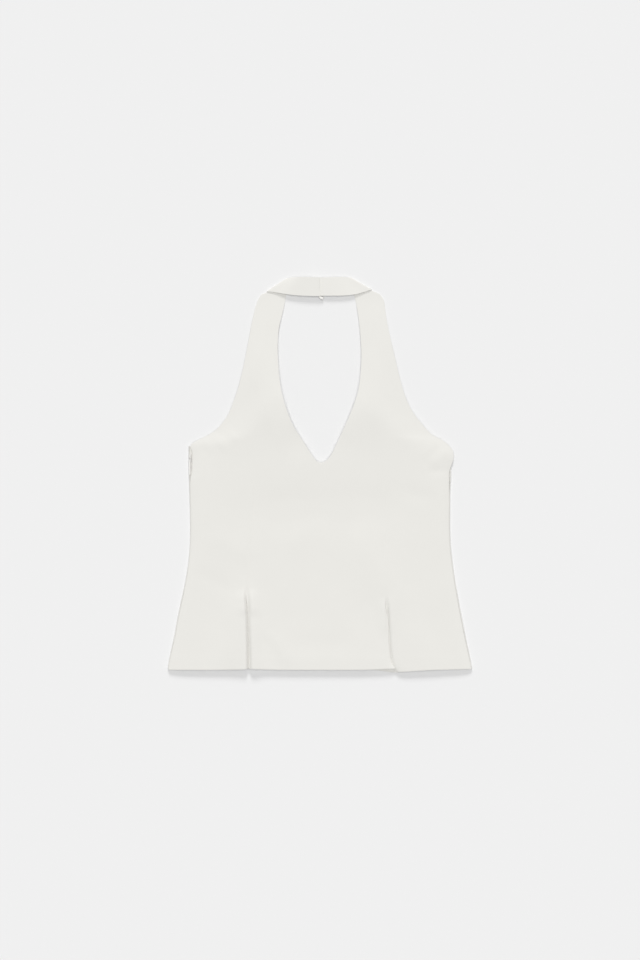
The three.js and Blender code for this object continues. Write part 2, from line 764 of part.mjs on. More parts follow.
// A long wire loop, one side of which is caught in the bend of the hook. Its upper end lies under the right
// half of the band. "seat" and "aside" give its middle, along the hook and across it from the hook's middle.
function makeEye() {
  const points = Array.from({ length: 16 }, (_, i) => {
    const turned = (2 * Math.PI * i) / 16;
    return new THREE.Vector3(
      eye.seat + eye.across * Math.cos(turned),
      eye.aside + eye.along * Math.sin(turned),
      0,
    );
  });
  const loop = new THREE.TubeGeometry(new THREE.CatmullRomCurve3(points, true), 20, eye.wire, 8, true);
  loop.rotateZ(THREE.MathUtils.degToRad(hook.tilt));
  return loop.translate(hook.x, hook.up, hook.z);
}

// ---- Assembly ----

const crepe = { color: 0xebe9e4, roughness: 0.85, metalness: 0 };
const tape = { color: 0xe6e4df, roughness: 0.7, metalness: 0 };
const enamel = { color: 0xe8e6e1, roughness: 0.35, metalness: 0 };
const pieces = [
  { name: "back", geometry: makeBack(), finish: crepe },
  { name: "front", geometry: makeFront(), finish: crepe },
  { name: "neck_band_left", geometry: makeBand(left, bandLeft), finish: crepe },
  { name: "neck_band_right", geometry: makeBand(right, bandRight), finish: crepe },
  { name: "zip_chain", geometry: makeZipChain(), finish: tape },
  { name: "zip_slider", geometry: makeZipSlider(), finish: enamel },
  { name: "zip_pull", geometry: makeZipPull(), finish: enamel },
  { name: "neck_hook", geometry: makeHook(), finish: enamel },
  { name: "neck_eye", geometry: makeEye(), finish: enamel },
];

const garment = new THREE.Group();
for (const { name, geometry, finish } of pieces) {
  const mesh = new THREE.Mesh(geometry, new THREE.MeshStandardMaterial(finish));
  mesh.name = name;
  garment.add(mesh);
}

// The part's origin is on the table, under the middle of the garment.
const extent = new THREE.Box3().setFromObject(garment);
const middle = extent.getCenter(new THREE.Vector3());
garment.position.set(-middle.x, -middle.y, -extent.min.z);

const peplumTop = new THREE.Group();
peplumTop.add(garment);

export default peplumTop;
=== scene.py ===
import json
import math
import bpy
import numpy as np
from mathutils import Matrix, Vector

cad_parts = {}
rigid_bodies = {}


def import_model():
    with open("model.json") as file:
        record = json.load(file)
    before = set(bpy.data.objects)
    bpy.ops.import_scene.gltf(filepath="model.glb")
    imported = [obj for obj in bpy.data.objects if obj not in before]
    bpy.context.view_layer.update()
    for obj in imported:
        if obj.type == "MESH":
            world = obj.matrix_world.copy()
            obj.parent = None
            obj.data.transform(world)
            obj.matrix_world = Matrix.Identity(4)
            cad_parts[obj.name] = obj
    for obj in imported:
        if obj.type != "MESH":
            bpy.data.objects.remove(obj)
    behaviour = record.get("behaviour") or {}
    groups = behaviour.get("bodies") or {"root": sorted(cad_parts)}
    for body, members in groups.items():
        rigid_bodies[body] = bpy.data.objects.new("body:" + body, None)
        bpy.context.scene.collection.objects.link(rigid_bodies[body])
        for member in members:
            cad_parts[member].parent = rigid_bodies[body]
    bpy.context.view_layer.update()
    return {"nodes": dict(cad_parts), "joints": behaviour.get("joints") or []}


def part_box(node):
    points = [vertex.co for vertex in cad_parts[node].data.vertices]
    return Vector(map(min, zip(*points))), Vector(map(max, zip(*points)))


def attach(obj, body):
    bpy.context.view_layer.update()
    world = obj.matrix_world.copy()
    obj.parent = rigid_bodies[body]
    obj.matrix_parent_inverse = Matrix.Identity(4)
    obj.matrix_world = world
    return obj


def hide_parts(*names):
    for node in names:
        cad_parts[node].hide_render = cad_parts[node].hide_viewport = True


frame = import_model()
mm = 0.001  # the tables below are in millimetres
print("frame loaded")

# Camera: straight above a point a little below the garment's middle.
view = {"height": 3.4, "centreY": -0.0079, "lens": 85, "sensor": 36}
bpy.ops.object.camera_add(location=(0, view["centreY"], view["height"]), rotation=(0, 0, 0))
camera = bpy.context.object
camera.name = "camera"
camera.data.lens = view["lens"]
camera.data.sensor_width = view["sensor"]
camera.data.clip_end = 200
bpy.context.scene.camera = camera

# The hem line and the centre line, from which the crease tables are measured.
bandTop = 588.83  # height of the neck band's upper edge above the hem line
hemLine = max(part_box(node)[1].y for node in ("neck_band_left", "neck_band_right")) - bandTop * mm
centreLine = 0.03 * mm


# Selecting, as one would by hand

def deselectAll():
    for item in bpy.context.scene.objects:
        item.select_set(False)


def makeActive(piece):
    deselectAll()
    piece.select_set(True)
    bpy.context.view_layer.objects.active = piece


def editMode(piece, kind="VERT"):
    makeActive(piece)
    bpy.ops.object.mode_set(mode="EDIT")
    bpy.ops.mesh.select_mode(type=kind)


def objectMode():
    bpy.ops.object.mode_set(mode="OBJECT")


def pointsOf(piece):
    place = np.empty(len(piece.data.vertices) * 3)
    piece.data.vertices.foreach_get("co", place)
    return place.reshape(-1, 3)


def setPoints(piece, place):
    piece.data.vertices.foreach_set("co", place.ravel())
    piece.data.update()


def pick(piece, kind, chosen):
    # selects the chosen points, edges or faces, given as a flag for each, and stays in edit mode
    editMode(piece, kind)
    bpy.ops.mesh.select_all(action="DESELECT")
    objectMode()
    mesh = piece.data
    elements = {"VERT": mesh.vertices, "EDGE": mesh.edges, "FACE": mesh.polygons}[kind]
    elements.foreach_set("select", chosen)
    editMode(piece, kind)


def extrude(x, y, z):
    bpy.ops.mesh.extrude_region_move(TRANSFORM_OT_translate={"value": (x, y, z)})


def joinDoubles(nearer):
    # in edit mode, all points that are nearer than this, in millimetres, become one
    bpy.ops.mesh.select_all(action="SELECT")
    bpy.ops.mesh.remove_doubles(threshold=nearer * mm)


def modify(piece, kind, **settings):
    makeActive(piece)
    modifier = piece.modifiers.new("shape", kind)
    for name, value in settings.items():
        setattr(modifier, name, value)
    bpy.ops.object.modifier_apply(modifier=modifier.name)


def roundEdges(piece, width, sharperThan, steps=3):
    angle = math.radians(sharperThan)
    modify(piece, "BEVEL", width=width * mm, segments=steps, limit_method="ANGLE", angle_limit=angle)


def placeAtOrigin(piece):
    makeActive(piece)
    bpy.ops.object.transform_apply(location=True, rotation=True, scale=True)


def cleanBevel(piece):
    # merges the points that a bevel has left in one place
    editMode(piece)
    joinDoubles(0.0001)
    objectMode()


def ease(low, high, value):
    share = np.clip((value - low) / (high - low), 0, 1)
    return share * share * (3 - 2 * share)


# Finishes

class Wire:
    # a socket that can be used in sums
    def __init__(self, finish, socket):
        self.finish = finish
        self.socket = socket

    def sum(self, operation, first, second):
        return self.finish.node("Math", {"operation": operation}, {0: first, 1: second})

    def __add__(self, other):
        return self.sum("ADD", self, other)

    def __radd__(self, other):
        return self.sum("ADD", other, self)

    def __sub__(self, other):
        return self.sum("SUBTRACT", self, other)

    def __rsub__(self, other):
        return self.sum("SUBTRACT", other, self)

    def __mul__(self, other):
        return self.sum("MULTIPLY", self, other)

    def __rmul__(self, other):
        return self.sum("MULTIPLY", other, self)


class Finish:
    def __init__(self, name, constants):
        self.material = bpy.data.materials.new(name)
        self.material.use_nodes = True
        self.tree = self.material.node_tree
        self.shader = self.tree.nodes["Principled BSDF"]
        for socket, value in constants.items():
            self.shader.inputs[socket].default_value = value

    def feed(self, socket, value):
        if isinstance(value, Wire):
            self.tree.links.new(value.socket, socket)
        else:
            socket.default_value = value

    def node(self, kind, settings, inputs, output=0):
        made = self.tree.nodes.new("ShaderNode" + kind)
        for name, value in settings.items():
            if name == "stops":
                for stop, (position, shade) in zip(made.color_ramp.elements, value):
                    stop.position = position
                    stop.color = (shade, shade, shade, 1)
            else:
                setattr(made, name, value)
        for socket, value in inputs.items():
            self.feed(made.inputs[socket], value)
        return Wire(self, made.outputs[output])

    def place(self, scale=1.0):
        # object coordinates in millimetres, times the scale
        here = self.node("TexCoord", {}, {}, "Object")
        return self.node("Mapping", {}, {"Vector": here, "Scale": (scale / mm,) * 3})

    def noise(self, scale, detail=2.0, roughness=0.5):
        settings = {"noise_dimensions": "3D"}
        inputs = {"Vector": self.place(scale), "Scale": 1.0, "Detail": detail, "Roughness": roughness}
        return self.node("TexNoise", settings, inputs, "Fac")

    def wave(self, axis, pitch, bend, bendScale):
        settings = {"wave_type": "BANDS", "bands_direction": axis, "wave_profile": "SIN"}
        # at scale 1 a wave texture repeats after a tenth of pi
        inputs = {
            "Vector": self.place(),
            "Scale": math.pi / 10 / pitch,
            "Distortion": bend,
            "Detail": 1.0,
            "Detail Scale": bendScale,
        }
        return self.node("TexWave", settings, inputs, "Fac")

    def tint(self, share, low, high):
        settings = {"data_type": "RGBA"}
        return self.node("Mix", settings, {0: share, 6: (*low, 1), 7: (*high, 1)}, 2)

    def finish(self, colour, roughness, height, depth):
        relief = {"Strength": 1.0, "Distance": depth * mm, "Height": height}
        self.feed(self.shader.inputs["Base Color"], colour)
        self.feed(self.shader.inputs["Roughness"], roughness)
        self.feed(self.shader.inputs["Normal"], self.node("Bump", {}, relief, "Normal"))
        return self.material


def shade(colour, factor):
    return tuple(channel * factor for channel in colour)


crepeLook = {
    "colour": (0.7545, 0.745, 0.71),
    "mottle": 0.012,  # how much lighter and darker the cloth is in patches
    "patches": 0.022,  # of them to a millimetre
    "patchShare": 0.8,  # how much of the mottle's range the patches take
    "grain": 0.12,  # and the threads
    "warpPitch": 0.46,
    "weftPitch": 0.52,
    "threadBend": 1.2,
    "threadHeight": 0.55,
    "pebbles": 1.6,  # to a millimetre
    "pebbleHeight": 0.9,
    "bumpDepth": 0.035,
    "roughness": (0.82, 0.95),
    "sheen": 0.06,
}


def makeCrepe():
    look = crepeLook
    gloss = {"Sheen Weight": look["sheen"], "Sheen Roughness": 0.6, "Specular IOR Level": 0.25}
    cloth = Finish("crepe", gloss)
    pebbles = cloth.noise(look["pebbles"], detail=3.0, roughness=0.6)
    warp = cloth.wave("X", look["warpPitch"], look["threadBend"], bendScale=0.8)
    weft = cloth.wave("Y", look["weftPitch"], look["threadBend"], bendScale=0.8)
    threads = warp * weft  # a quarter on average
    height = threads * look["threadHeight"] + pebbles * look["pebbleHeight"]
    patches = cloth.noise(look["patches"], detail=3.0, roughness=0.55)
    tone = 0.5 + (patches - 0.5) * look["patchShare"] + (threads - 0.25) * look["grain"]
    low = shade(look["colour"], 1 - look["mottle"])
    high = shade(look["colour"], 1 + look["mottle"])
    colour = cloth.tint(tone, low, high)
    rough, rougher = look["roughness"]
    return cloth.finish(colour, rough + pebbles * (rougher - rough), height, look["bumpDepth"])


tapeLook = {
    "colour": (0.735, 0.72, 0.69),
    "dark": 0.95,
    "light": 1.03,
    "rib": 0.5,
    "ribBend": 0.4,
    "fuzz": 3,  # specks to a millimetre
    "fuzzHeight": 0.4,
    "bumpDepth": 0.06,
    "roughness": (0.8, 0.92),
    "sheen": 0.04,
}


def makeTape():
    look = tapeLook
    tape = Finish("zip_tape", {"Sheen Weight": look["sheen"], "Specular IOR Level": 0.3})
    ribs = tape.wave("DIAGONAL", look["rib"], look["ribBend"], bendScale=1.0)
    fuzz = tape.noise(look["fuzz"])
    tone = ribs * 0.5 + fuzz * 0.5
    colour = tape.tint(tone, shade(look["colour"], look["dark"]), shade(look["colour"], look["light"]))
    rough, rougher = look["roughness"]
    height = ribs + fuzz * look["fuzzHeight"]
    return tape.finish(colour, rough + fuzz * (rougher - rough), height, look["bumpDepth"])


# All the metal is painted. The slider's enamel is the dullest, and its colour is darker than the pull's and
# the hook's: painted shade, for the shade the slider lies in beside the front's edge.
enamelLook = {
    "wear": 0.06,  # how much darker the worn specks are
    "worn": (0.55, 0.75),  # a speck starts and is whole at these values of its noise
    "ripples": 0.7,  # to a millimetre
    "specks": 4,  # to a millimetre
    "speckHeight": 0.3,
    "bumpDepth": 0.02,
    "unevenness": 0.15,
    "coatRoughness": 0.18,
}
enamels = {
    # the slider's darker colour is painted shade, not the enamel's own colour
    "slider_metal_painted_shade": {"colour": (0.65, 0.64, 0.615), "roughness": 0.4, "coat": 0.15},
    "pull_metal": {"colour": (0.79, 0.775, 0.745), "roughness": 0.32, "coat": 0.35},
    "hook_metal": {"colour": (0.79, 0.775, 0.745), "roughness": 0.44, "coat": 0.35},
}


def makeEnamel(name):
    look = {**enamelLook, **enamels[name]}
    gloss = {"Coat Weight": look["coat"], "Coat Roughness": look["coatRoughness"], "Specular IOR Level": 0.5}
    enamel = Finish(name, gloss)
    ripples = enamel.noise(look["ripples"])
    specks = enamel.noise(look["specks"], detail=3.0, roughness=0.7)
    start, whole = look["worn"]
    worn = enamel.node("ValToRGB", {"stops": [(start, 0), (whole, 1)]}, {"Fac": specks}, "Color")
    colour = enamel.tint(worn, look["colour"], shade(look["colour"], 1 - look["wear"]))
    height = ripples + specks * look["speckHeight"]
    return enamel.finish(colour, look["roughness"] + ripples * look["unevenness"], height, look["bumpDepth"])


crepe = makeCrepe()
zipTapeFinish = makeTape()
sliderPaintedShadeEnamel = makeEnamel("slider_metal_painted_shade")
pullEnamel = makeEnamel("pull_metal")
hookEnamel = makeEnamel("hook_metal")
smoothUpTo = 50  # degrees between two faces that are shaded as one
print("finishes made")


def dress(piece, finish, body):
    piece.data.materials.clear()
    piece.data.materials.append(finish)
    makeActive(piece)
    bpy.ops.object.shade_smooth_by_angle(angle=math.radians(smoothUpTo))
    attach(piece, body)


# Cloth

# An edge sharper than "sharp" degrees stays an edge, and is then rolled with the bevel.
clothEdge = {"sharp": 75, "bevel": 0.3, "bevelFrom": 60, "bevelSteps": 2}
hemRows = 6  # the strips are measured on the rows of points this near the hem


def clothShell(name, node, levels, widest=None):
    # the solid's own form, with its triangles paired into quads again, then rounded
    piece = bpy.data.objects.new(name, frame["nodes"][node].data.copy())
    bpy.context.scene.collection.objects.link(piece)
    editMode(piece, "EDGE")
    bpy.ops.mesh.select_all(action="SELECT")
    bpy.ops.mesh.customdata_custom_splitnormals_clear()
    joinDoubles(0.001)
    bpy.ops.mesh.tris_convert_to_quads(
        face_threshold=math.pi, shape_threshold=math.pi, topology_influence=1
    )
    objectMode()
    if widest:
        halveWideStrips(piece, widest * mm)
    editMode(piece, "EDGE")
    bpy.ops.mesh.select_all(action="DESELECT")
    bpy.ops.mesh.edges_select_sharp(sharpness=math.radians(clothEdge["sharp"]))
    bpy.ops.transform.edge_crease(value=1)
    objectMode()
    keepCorners(piece)
    modify(piece, "SUBSURF", levels=levels, render_levels=levels)
    roundEdges(piece, clothEdge["bevel"], clothEdge["bevelFrom"], clothEdge["bevelSteps"])
    return piece


def halveWideStrips(piece, widest):
    # the strips that are wide at the hem are cut lengthwise
    place = pointsOf(piece)
    nearHem = place[:, 1] < place[:, 1].min() + hemRows * mm
    chosen = []
    for edge in piece.data.edges:
        a, b = edge.vertices
        chosen.append(bool(nearHem[a] and nearHem[b] and abs(place[a, 0] - place[b, 0]) > widest))
    pick(piece, "EDGE", chosen)
    bpy.ops.mesh.loop_multi_select(ring=True)
    bpy.ops.mesh.subdivide(number_cuts=1)
    objectMode()


def keepCorners(piece):
    # a corner of the cloth is where only three edges meet
    meets = np.zeros(len(piece.data.vertices), int)
    for edge in piece.data.edges:
        meets[list(edge.vertices)] += 1
    pick(piece, "VERT", meets == 3)
    bpy.ops.transform.vert_crease(value=1)
    objectMode()


# A crease grows and dies away over these shares of its length.
creaseEnds = {"start": (-0.1, 0.35), "end": (0.65, 1.1)}


def creaseHeight(x, up, creases):
    # how far the creases of one table lift each point; "bow" is how far a crease's middle lies to its side
    height = np.zeros(len(x))
    for crease in creases:
        startX, startUp = crease["from"]
        endX, endUp = crease["to"]
        alongX, alongUp = endX - startX, endUp - startUp
        length = math.hypot(alongX, alongUp)
        share = ((x - startX) * alongX + (up - startUp) * alongUp) / length**2
        aside = ((x - startX) * alongUp - (up - startUp) * alongX) / length
        aside = aside - 4 * crease.get("bow", 0) * share * (1 - share)
        ends = ease(*creaseEnds["start"], share) * (1 - ease(*creaseEnds["end"], share))
        height += crease["height"] * ends * np.exp(-((aside / crease["width"]) ** 2))
    return height


def fromHem(place):
    # how far out from the centre line, and up from the hem, each point lies in millimetres
    return (place[:, 0] - centreLine) / mm, (place[:, 1] - hemLine) / mm


# Front

dartSeams = [
    {"from": (-110.5, 119), "to": (-98, 292)},
    {"from": (97, 108), "to": (97, 294)},
]
dart = {"width": 0.6, "depth": 0.15, "cutWidth": 12, "start": (-0.02, 0.06), "end": (0.85, 1.0)}


def sewDart(piece, seam):
    # three cuts along a straight line, of which the middle one sinks
    startPoint, endPoint = (
        np.array([centreLine + x * mm, hemLine + up * mm, 0]) for x, up in (seam["from"], seam["to"])
    )
    length = np.linalg.norm(endPoint - startPoint)
    along = (endPoint - startPoint) / length
    sideways = np.array([along[1], -along[0], 0])
    for offset in (-dart["width"], 0, dart["width"]):
        centres = np.empty(len(piece.data.polygons) * 3)
        piece.data.polygons.foreach_get("center", centres)
        fromStart = centres.reshape(-1, 3) - startPoint
        reach = fromStart @ along
        aside = np.abs(fromStart @ sideways)
        pick(piece, "FACE", (reach > 0) & (reach < length) & (aside < dart["cutWidth"] * mm))
        bpy.ops.mesh.bisect(
            plane_co=tuple(startPoint + sideways * offset * mm),
            plane_no=tuple(sideways),
            use_fill=False,
        )
        objectMode()
    place = pointsOf(piece)
    fromStart = place - startPoint
    share = (fromStart @ along) / length
    onCut = np.abs(fromStart @ sideways) < 0.02 * mm
    fade = ease(*dart["start"], share) * (1 - ease(*dart["end"], share))
    place[onCut, 2] -= dart["depth"] * mm * fade[onCut]
    setPoints(piece, place)


frontCreases = [
    {"from": (-109.4, 128), "to": (-105.2, -60), "width": 15, "height": 3.1, "bow": -1},
    {"from": (-108.8, 128), "to": (-104.6, -60), "width": 4, "height": -1.6, "bow": -1},
    {"from": (-110.1, 128), "to": (-105.9, -60), "width": 2.3, "height": -1.7, "bow": -1},
    {"from": (-109.6, 120), "to": (-107.2, 80), "width": 13, "height": 1.9},
    {"from": (-109.6, 120), "to": (-107.2, 80), "width": 4.2, "height": -1.9},
    {"from": (100.4, 108), "to": (101.2, 50), "width": 11, "height": 1.3},
    {"from": (100.4, 108), "to": (101.2, 50), "width": 2.8, "height": -1.3},
    {"from": (104.6, 108), "to": (109.5, 12), "width": 3.2, "height": 0.8},
    {"from": (52, 222), "to": (122, 92), "width": 26, "height": 0.9, "bow": 6},
    {"from": (-150, 240), "to": (150, 248), "width": 34, "height": -1.2, "bow": 6},
    {"from": (-86, 52), "to": (-64, 2), "width": 7, "height": -0.6},
    {"from": (-72, 60), "to": (-46, 4), "width": 11, "height": 0.5},
    {"from": (70, 112), "to": (84, 20), "width": 13, "height": -0.5},
    {"from": (-60, 38), "to": (62, 40), "width": 16, "height": -0.4},
    {"from": (-128, 112), "to": (-134, -4), "width": 14, "height": 1.3},
    {"from": (128, 120), "to": (150, -4), "width": 20, "height": 0.8},
    {"from": (-176, 350), "to": (-158, 322), "width": 7, "height": 0.22},
    {"from": (-164, 356), "to": (-136, 326), "width": 6, "height": 0.25},
    {"from": (-146, 366), "to": (-118, 340), "width": 7, "height": 0.2},
    {"from": (194, 330), "to": (164, 306), "width": 9, "height": 0.6},
    {"from": (176, 344), "to": (150, 318), "width": 7, "height": 0.25},
    {"from": (196, 300), "to": (158, 296), "width": 6, "height": -0.35},
    {"from": (-84, 416), "to": (-24, 318), "width": 16, "height": -0.7, "bow": -6},
    {"from": (-96, 410), "to": (-16, 360), "width": 34, "height": 1.9},
    {"from": (92, 404), "to": (16, 360), "width": 34, "height": 1.2},
    {"from": (-116, 452), "to": (-62, 444), "width": 42, "height": 1.0},
    {"from": (84, 486), "to": (84, 330), "width": 12, "height": 0.5},
    {"from": (-88, 500), "to": (-96, 400), "width": 10, "height": 0.4},
    {"from": (-170, 206), "to": (-100, 168), "width": 16, "height": 0.5},
    {"from": (-190, 150), "to": (-130, 118), "width": 12, "height": -0.4},
    {"from": (20, 236), "to": (-60, 176), "width": 22, "height": 0.45},
    {"from": (120, 270), "to": (176, 252), "width": 12, "height": -0.45},
]
# The seams take up part of the sewn gap: "close" is by how much, on the left and on the right.
sideSeam = {"close": (0.26, 0.15), "inner": 140, "outer": 190, "top": (284, 292)}
hemTurn = {"up": 21.5, "step": 0.08, "soft": 0.7}
# How far the front may sink before it meets the back, and where a pleat's layers fill that room.
room = {"body": 0.9, "from": 296, "to": 372}
pleatRoom = {"free": 0.15, "inner": (58, 68), "outer": (122, 134), "top": (116, 130)}


def shapeFront(piece):
    place = pointsOf(piece)
    x, up = fromHem(place)
    out = np.abs(x)
    pleated = ease(*pleatRoom["inner"], out) * (1 - ease(*pleatRoom["outer"], out))
    pleated *= 1 - ease(*pleatRoom["top"], up)
    free = room["body"] * (1 - ease(room["from"], room["to"], up))
    free += (pleatRoom["free"] - free) * pleated
    lift = np.maximum(creaseHeight(x, up, frontCreases), -free)
    lift += hemTurn["step"] * (1 - ease(hemTurn["up"] - hemTurn["soft"], hemTurn["up"] + hemTurn["soft"], up))
    place[:, 2] += lift * mm
    nearSeam = ease(sideSeam["inner"], sideSeam["outer"], out) * (1 - ease(*sideSeam["top"], up))
    closeLeft, closeRight = sideSeam["close"]
    place[:, 0] += np.where(x < 0, -closeLeft, closeRight) * mm * nearSeam
    setPoints(piece, place)


front = clothShell("frontPanel", "front", 2, 14)
shapeFront(front)
for seam in dartSeams:
    sewDart(front, seam)
dress(front, crepe, "top")
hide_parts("front")
print("front made")

# Back

backCreases = [
    {"from": (-70, 330), "to": (60, 322), "width": 10, "height": 0.3},
    {"from": (-120, 240), "to": (-40, 180), "width": 16, "height": 0.4},
    {"from": (110, 260), "to": (60, 150), "width": 14, "height": 0.45},
    {"from": (-90, 130), "to": (-104, 6), "width": 9, "height": 0.5},
    {"from": (88, 126), "to": (100, 6), "width": 10, "height": 0.45},
]


def shapeBack(piece):
    place = pointsOf(piece)
    place[:, 2] += creaseHeight(*fromHem(place), backCreases) * mm
    setPoints(piece, place)


back = clothShell("backPanel", "back", 2, 20)
shapeBack(back)
dress(back, crepe, "top")
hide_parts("back")
print("back made")

# Neck band

for name, node in (("neckBandLeft", "neck_band_left"), ("neckBandRight", "neck_band_right")):
    band = clothShell(name, node, 3)
    cleanBevel(band)
    dress(band, crepe, "top")
    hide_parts(node)
print("neck band made")

# Zip

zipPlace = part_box("zip_pull")
zipMiddle = (zipPlace[0].x + zipPlace[1].x) / 2
zipTape = clothShell("zipTape", "zip_chain", 2)
cleanBevel(zipTape)
dress(zipTape, zipTapeFinish, "top")
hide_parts("zip_chain")

# Each tooth is a loop of wire that lies across the tape. "start" is how far in from the tape's outer edge
# it begins, and "legs" how long its two straight sides are.
coil = {
    "pitch": 1.25, "wire": 0.24, "start": 0.95, "legs": 2.16, "sides": 6, "bendSteps": 5, "height": 2.12,
    "below": 1.2, "free": 3,  # tape left bare below the first tooth, and in all
}


def chainEdge(y):
    # where the chain's outer edge lies at each height
    place = pointsOf(frame["nodes"]["zip_chain"])
    rows = np.unique(np.round(place[:, 1], 5))
    outer = np.array([place[np.abs(place[:, 1] - row) < 0.1 * mm, 0].min() for row in rows])
    return np.interp(y, rows, outer)


def makeCoil():
    low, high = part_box("zip_chain")
    start = coil["start"] * mm
    legs = coil["legs"] * mm
    first = low.y + coil["below"] * mm
    height = coil["height"] * mm
    bpy.ops.mesh.primitive_circle_add(
        vertices=coil["sides"],
        radius=coil["wire"] * mm,
        location=(start, first, height),
        rotation=(0, math.radians(90), 0),
        fill_type="NOTHING",
    )
    tooth = bpy.context.object
    tooth.name = "zipCoil"
    placeAtOrigin(tooth)
    editMode(tooth)
    bpy.ops.mesh.select_all(action="SELECT")
    extrude(legs, 0, 0)
    bendMiddle = (start + legs, first + coil["pitch"] / 4 * mm, height)
    bpy.ops.mesh.spin(steps=coil["bendSteps"], angle=math.pi, center=bendMiddle, axis=(0, 0, 1))
    extrude(-legs, 0, 0)
    joinDoubles(0.01)
    bpy.ops.mesh.fill_holes(sides=coil["sides"])
    bpy.ops.mesh.normals_make_consistent(inside=False)
    objectMode()
    count = int((high.y - low.y - coil["free"] * mm) / (coil["pitch"] * mm))
    modify(
        tooth,
        "ARRAY",
        count=count,
        use_relative_offset=False,
        use_constant_offset=True,
        constant_offset_displace=(0, coil["pitch"] * mm, 0),
    )
    place = pointsOf(tooth)
    place[:, 0] += chainEdge(place[:, 1])
    setPoints(tooth, place)
    return tooth


zipCoil = makeCoil()
dress(zipCoil, zipTapeFinish, "top")

# The plate is narrower by "waist" at its middle, and by "taper" at its ends, where its corners round off.
sliderShape = {
    "rows": 8, "plate": 0.8, "foot": 1.4, "footInset": 1.5, "waist": 0.12, "taper": 0.3, "crown": 0.12,
    "bevel": 0.22, "bevelFrom": 40,
}


def makeSlider():
    # a plate, and a foot under its inner side that stands on the chain
    low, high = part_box("zip_slider")
    middle = (low + high) / 2
    plateLow = low.z + sliderShape["foot"] * mm
    footEdge = low.x + sliderShape["footInset"] * mm
    bpy.ops.mesh.primitive_grid_add(
        x_subdivisions=2, y_subdivisions=sliderShape["rows"], size=1, location=(middle.x, middle.y, plateLow)
    )
    slider = bpy.context.object
    slider.name = "zipSlider"
    slider.scale = (high.x - low.x, high.y - low.y, 1)
    placeAtOrigin(slider)
    place = pointsOf(slider)
    inMiddle = np.abs(place[:, 0] - middle.x) < 0.1 * mm
    place[inMiddle, 0] = footEdge
    setPoints(slider, place)
    modify(slider, "SOLIDIFY", thickness=sliderShape["plate"] * mm, offset=1)
    pick(slider, "FACE", [face.normal.z < -0.9 and face.center.x > footEdge for face in slider.data.polygons])
    extrude(0, 0, -sliderShape["foot"] * mm)
    objectMode()
    place = pointsOf(slider)
    share = (place[:, 1] - low.y) / (high.y - low.y)
    fromMiddle = 2 * np.abs(share - 0.5)
    width = 1 - sliderShape["waist"] * np.sin(math.pi * share) - sliderShape["taper"] * fromMiddle**6
    place[:, 0] = middle.x + (place[:, 0] - middle.x) * width
    onTop = place[:, 2] > plateLow + 0.1 * mm
    place[onTop, 2] -= sliderShape["crown"] * mm * fromMiddle[onTop] ** 2
    setPoints(slider, place)
    roundEdges(slider, sliderShape["bevel"], sliderShape["bevelFrom"])
    return slider


bridgeShape = {
    "reach": 2.1, "width": 0.8, "wall": 0.8, "leg": 0.6, "steps": 12, "bevel": 0.16, "bevelFrom": 40,
}


def makeBridge():
    # the arch on the slider that holds the pull: a leg, half a turn and a leg
    low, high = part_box("zip_slider")
    reach = bridgeShape["reach"] * mm
    wall = bridgeShape["wall"] * mm
    leg = bridgeShape["leg"] * mm
    centre = Vector((zipMiddle, (low.y + high.y) / 2, high.z - reach))
    start = (centre.x, centre.y - reach + wall / 2, centre.z - leg)
    bpy.ops.mesh.primitive_plane_add(size=1, location=start)
    bridge = bpy.context.object
    bridge.name = "zipBridge"
    bridge.scale = (bridgeShape["width"] * mm, wall, 1)
    placeAtOrigin(bridge)
    editMode(bridge, "FACE")
    bpy.ops.mesh.select_all(action="SELECT")
    extrude(0, 0, leg)
    bpy.ops.mesh.spin(steps=bridgeShape["steps"], angle=math.pi, center=centre, axis=(1, 0, 0))
    extrude(0, 0, -leg)
    joinDoubles(0.01)
    bpy.ops.mesh.normals_make_consistent(inside=False)
    objectMode()
    roundEdges(bridge, bridgeShape["bevel"], bridgeShape["bevelFrom"])
    return bridge


# the slider and its bridge take the enamel with painted shade in its colour
zipSlider = makeSlider()
dress(zipSlider, sliderPaintedShadeEnamel, "top")
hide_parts("zip_slider")
zipBridge = makeBridge()
dress(zipBridge, sliderPaintedShadeEnamel, "top")

# The pull's lengths are measured from its pivot, in the middle of the bar at its head.
pullShape = {
    "thick": 0.8,
    "headBar": 0.45,
    "slotHalf": 0.65,
    "slotMiddle": 1.7,
    "slotEnd": 2.9,
    "neck": 0.95,  # how wide the head is, as a share of the width lower down
    "neckReach": 0.55,  # the width is full from this share of the length
    "stemRows": 16,
    "stemColumn": 0.45,  # the slot's two columns draw together on the stem, to clear the panel's edge
    "tipRows": 5,
    "tipTurn": 1.25,
    "panelFrom": 4.5,
    "panelEnd": 1.2,  # above the tip's end, in half widths of the pull
    "panelInset": 0.3,
    "panelSlope": 0.12,
    "panelDepth": 0.14,
    "bevel": 0.1,
    "bevelFrom": 50,
    "drop": 1.0,  # how much lower its tip lies than its pivot
}


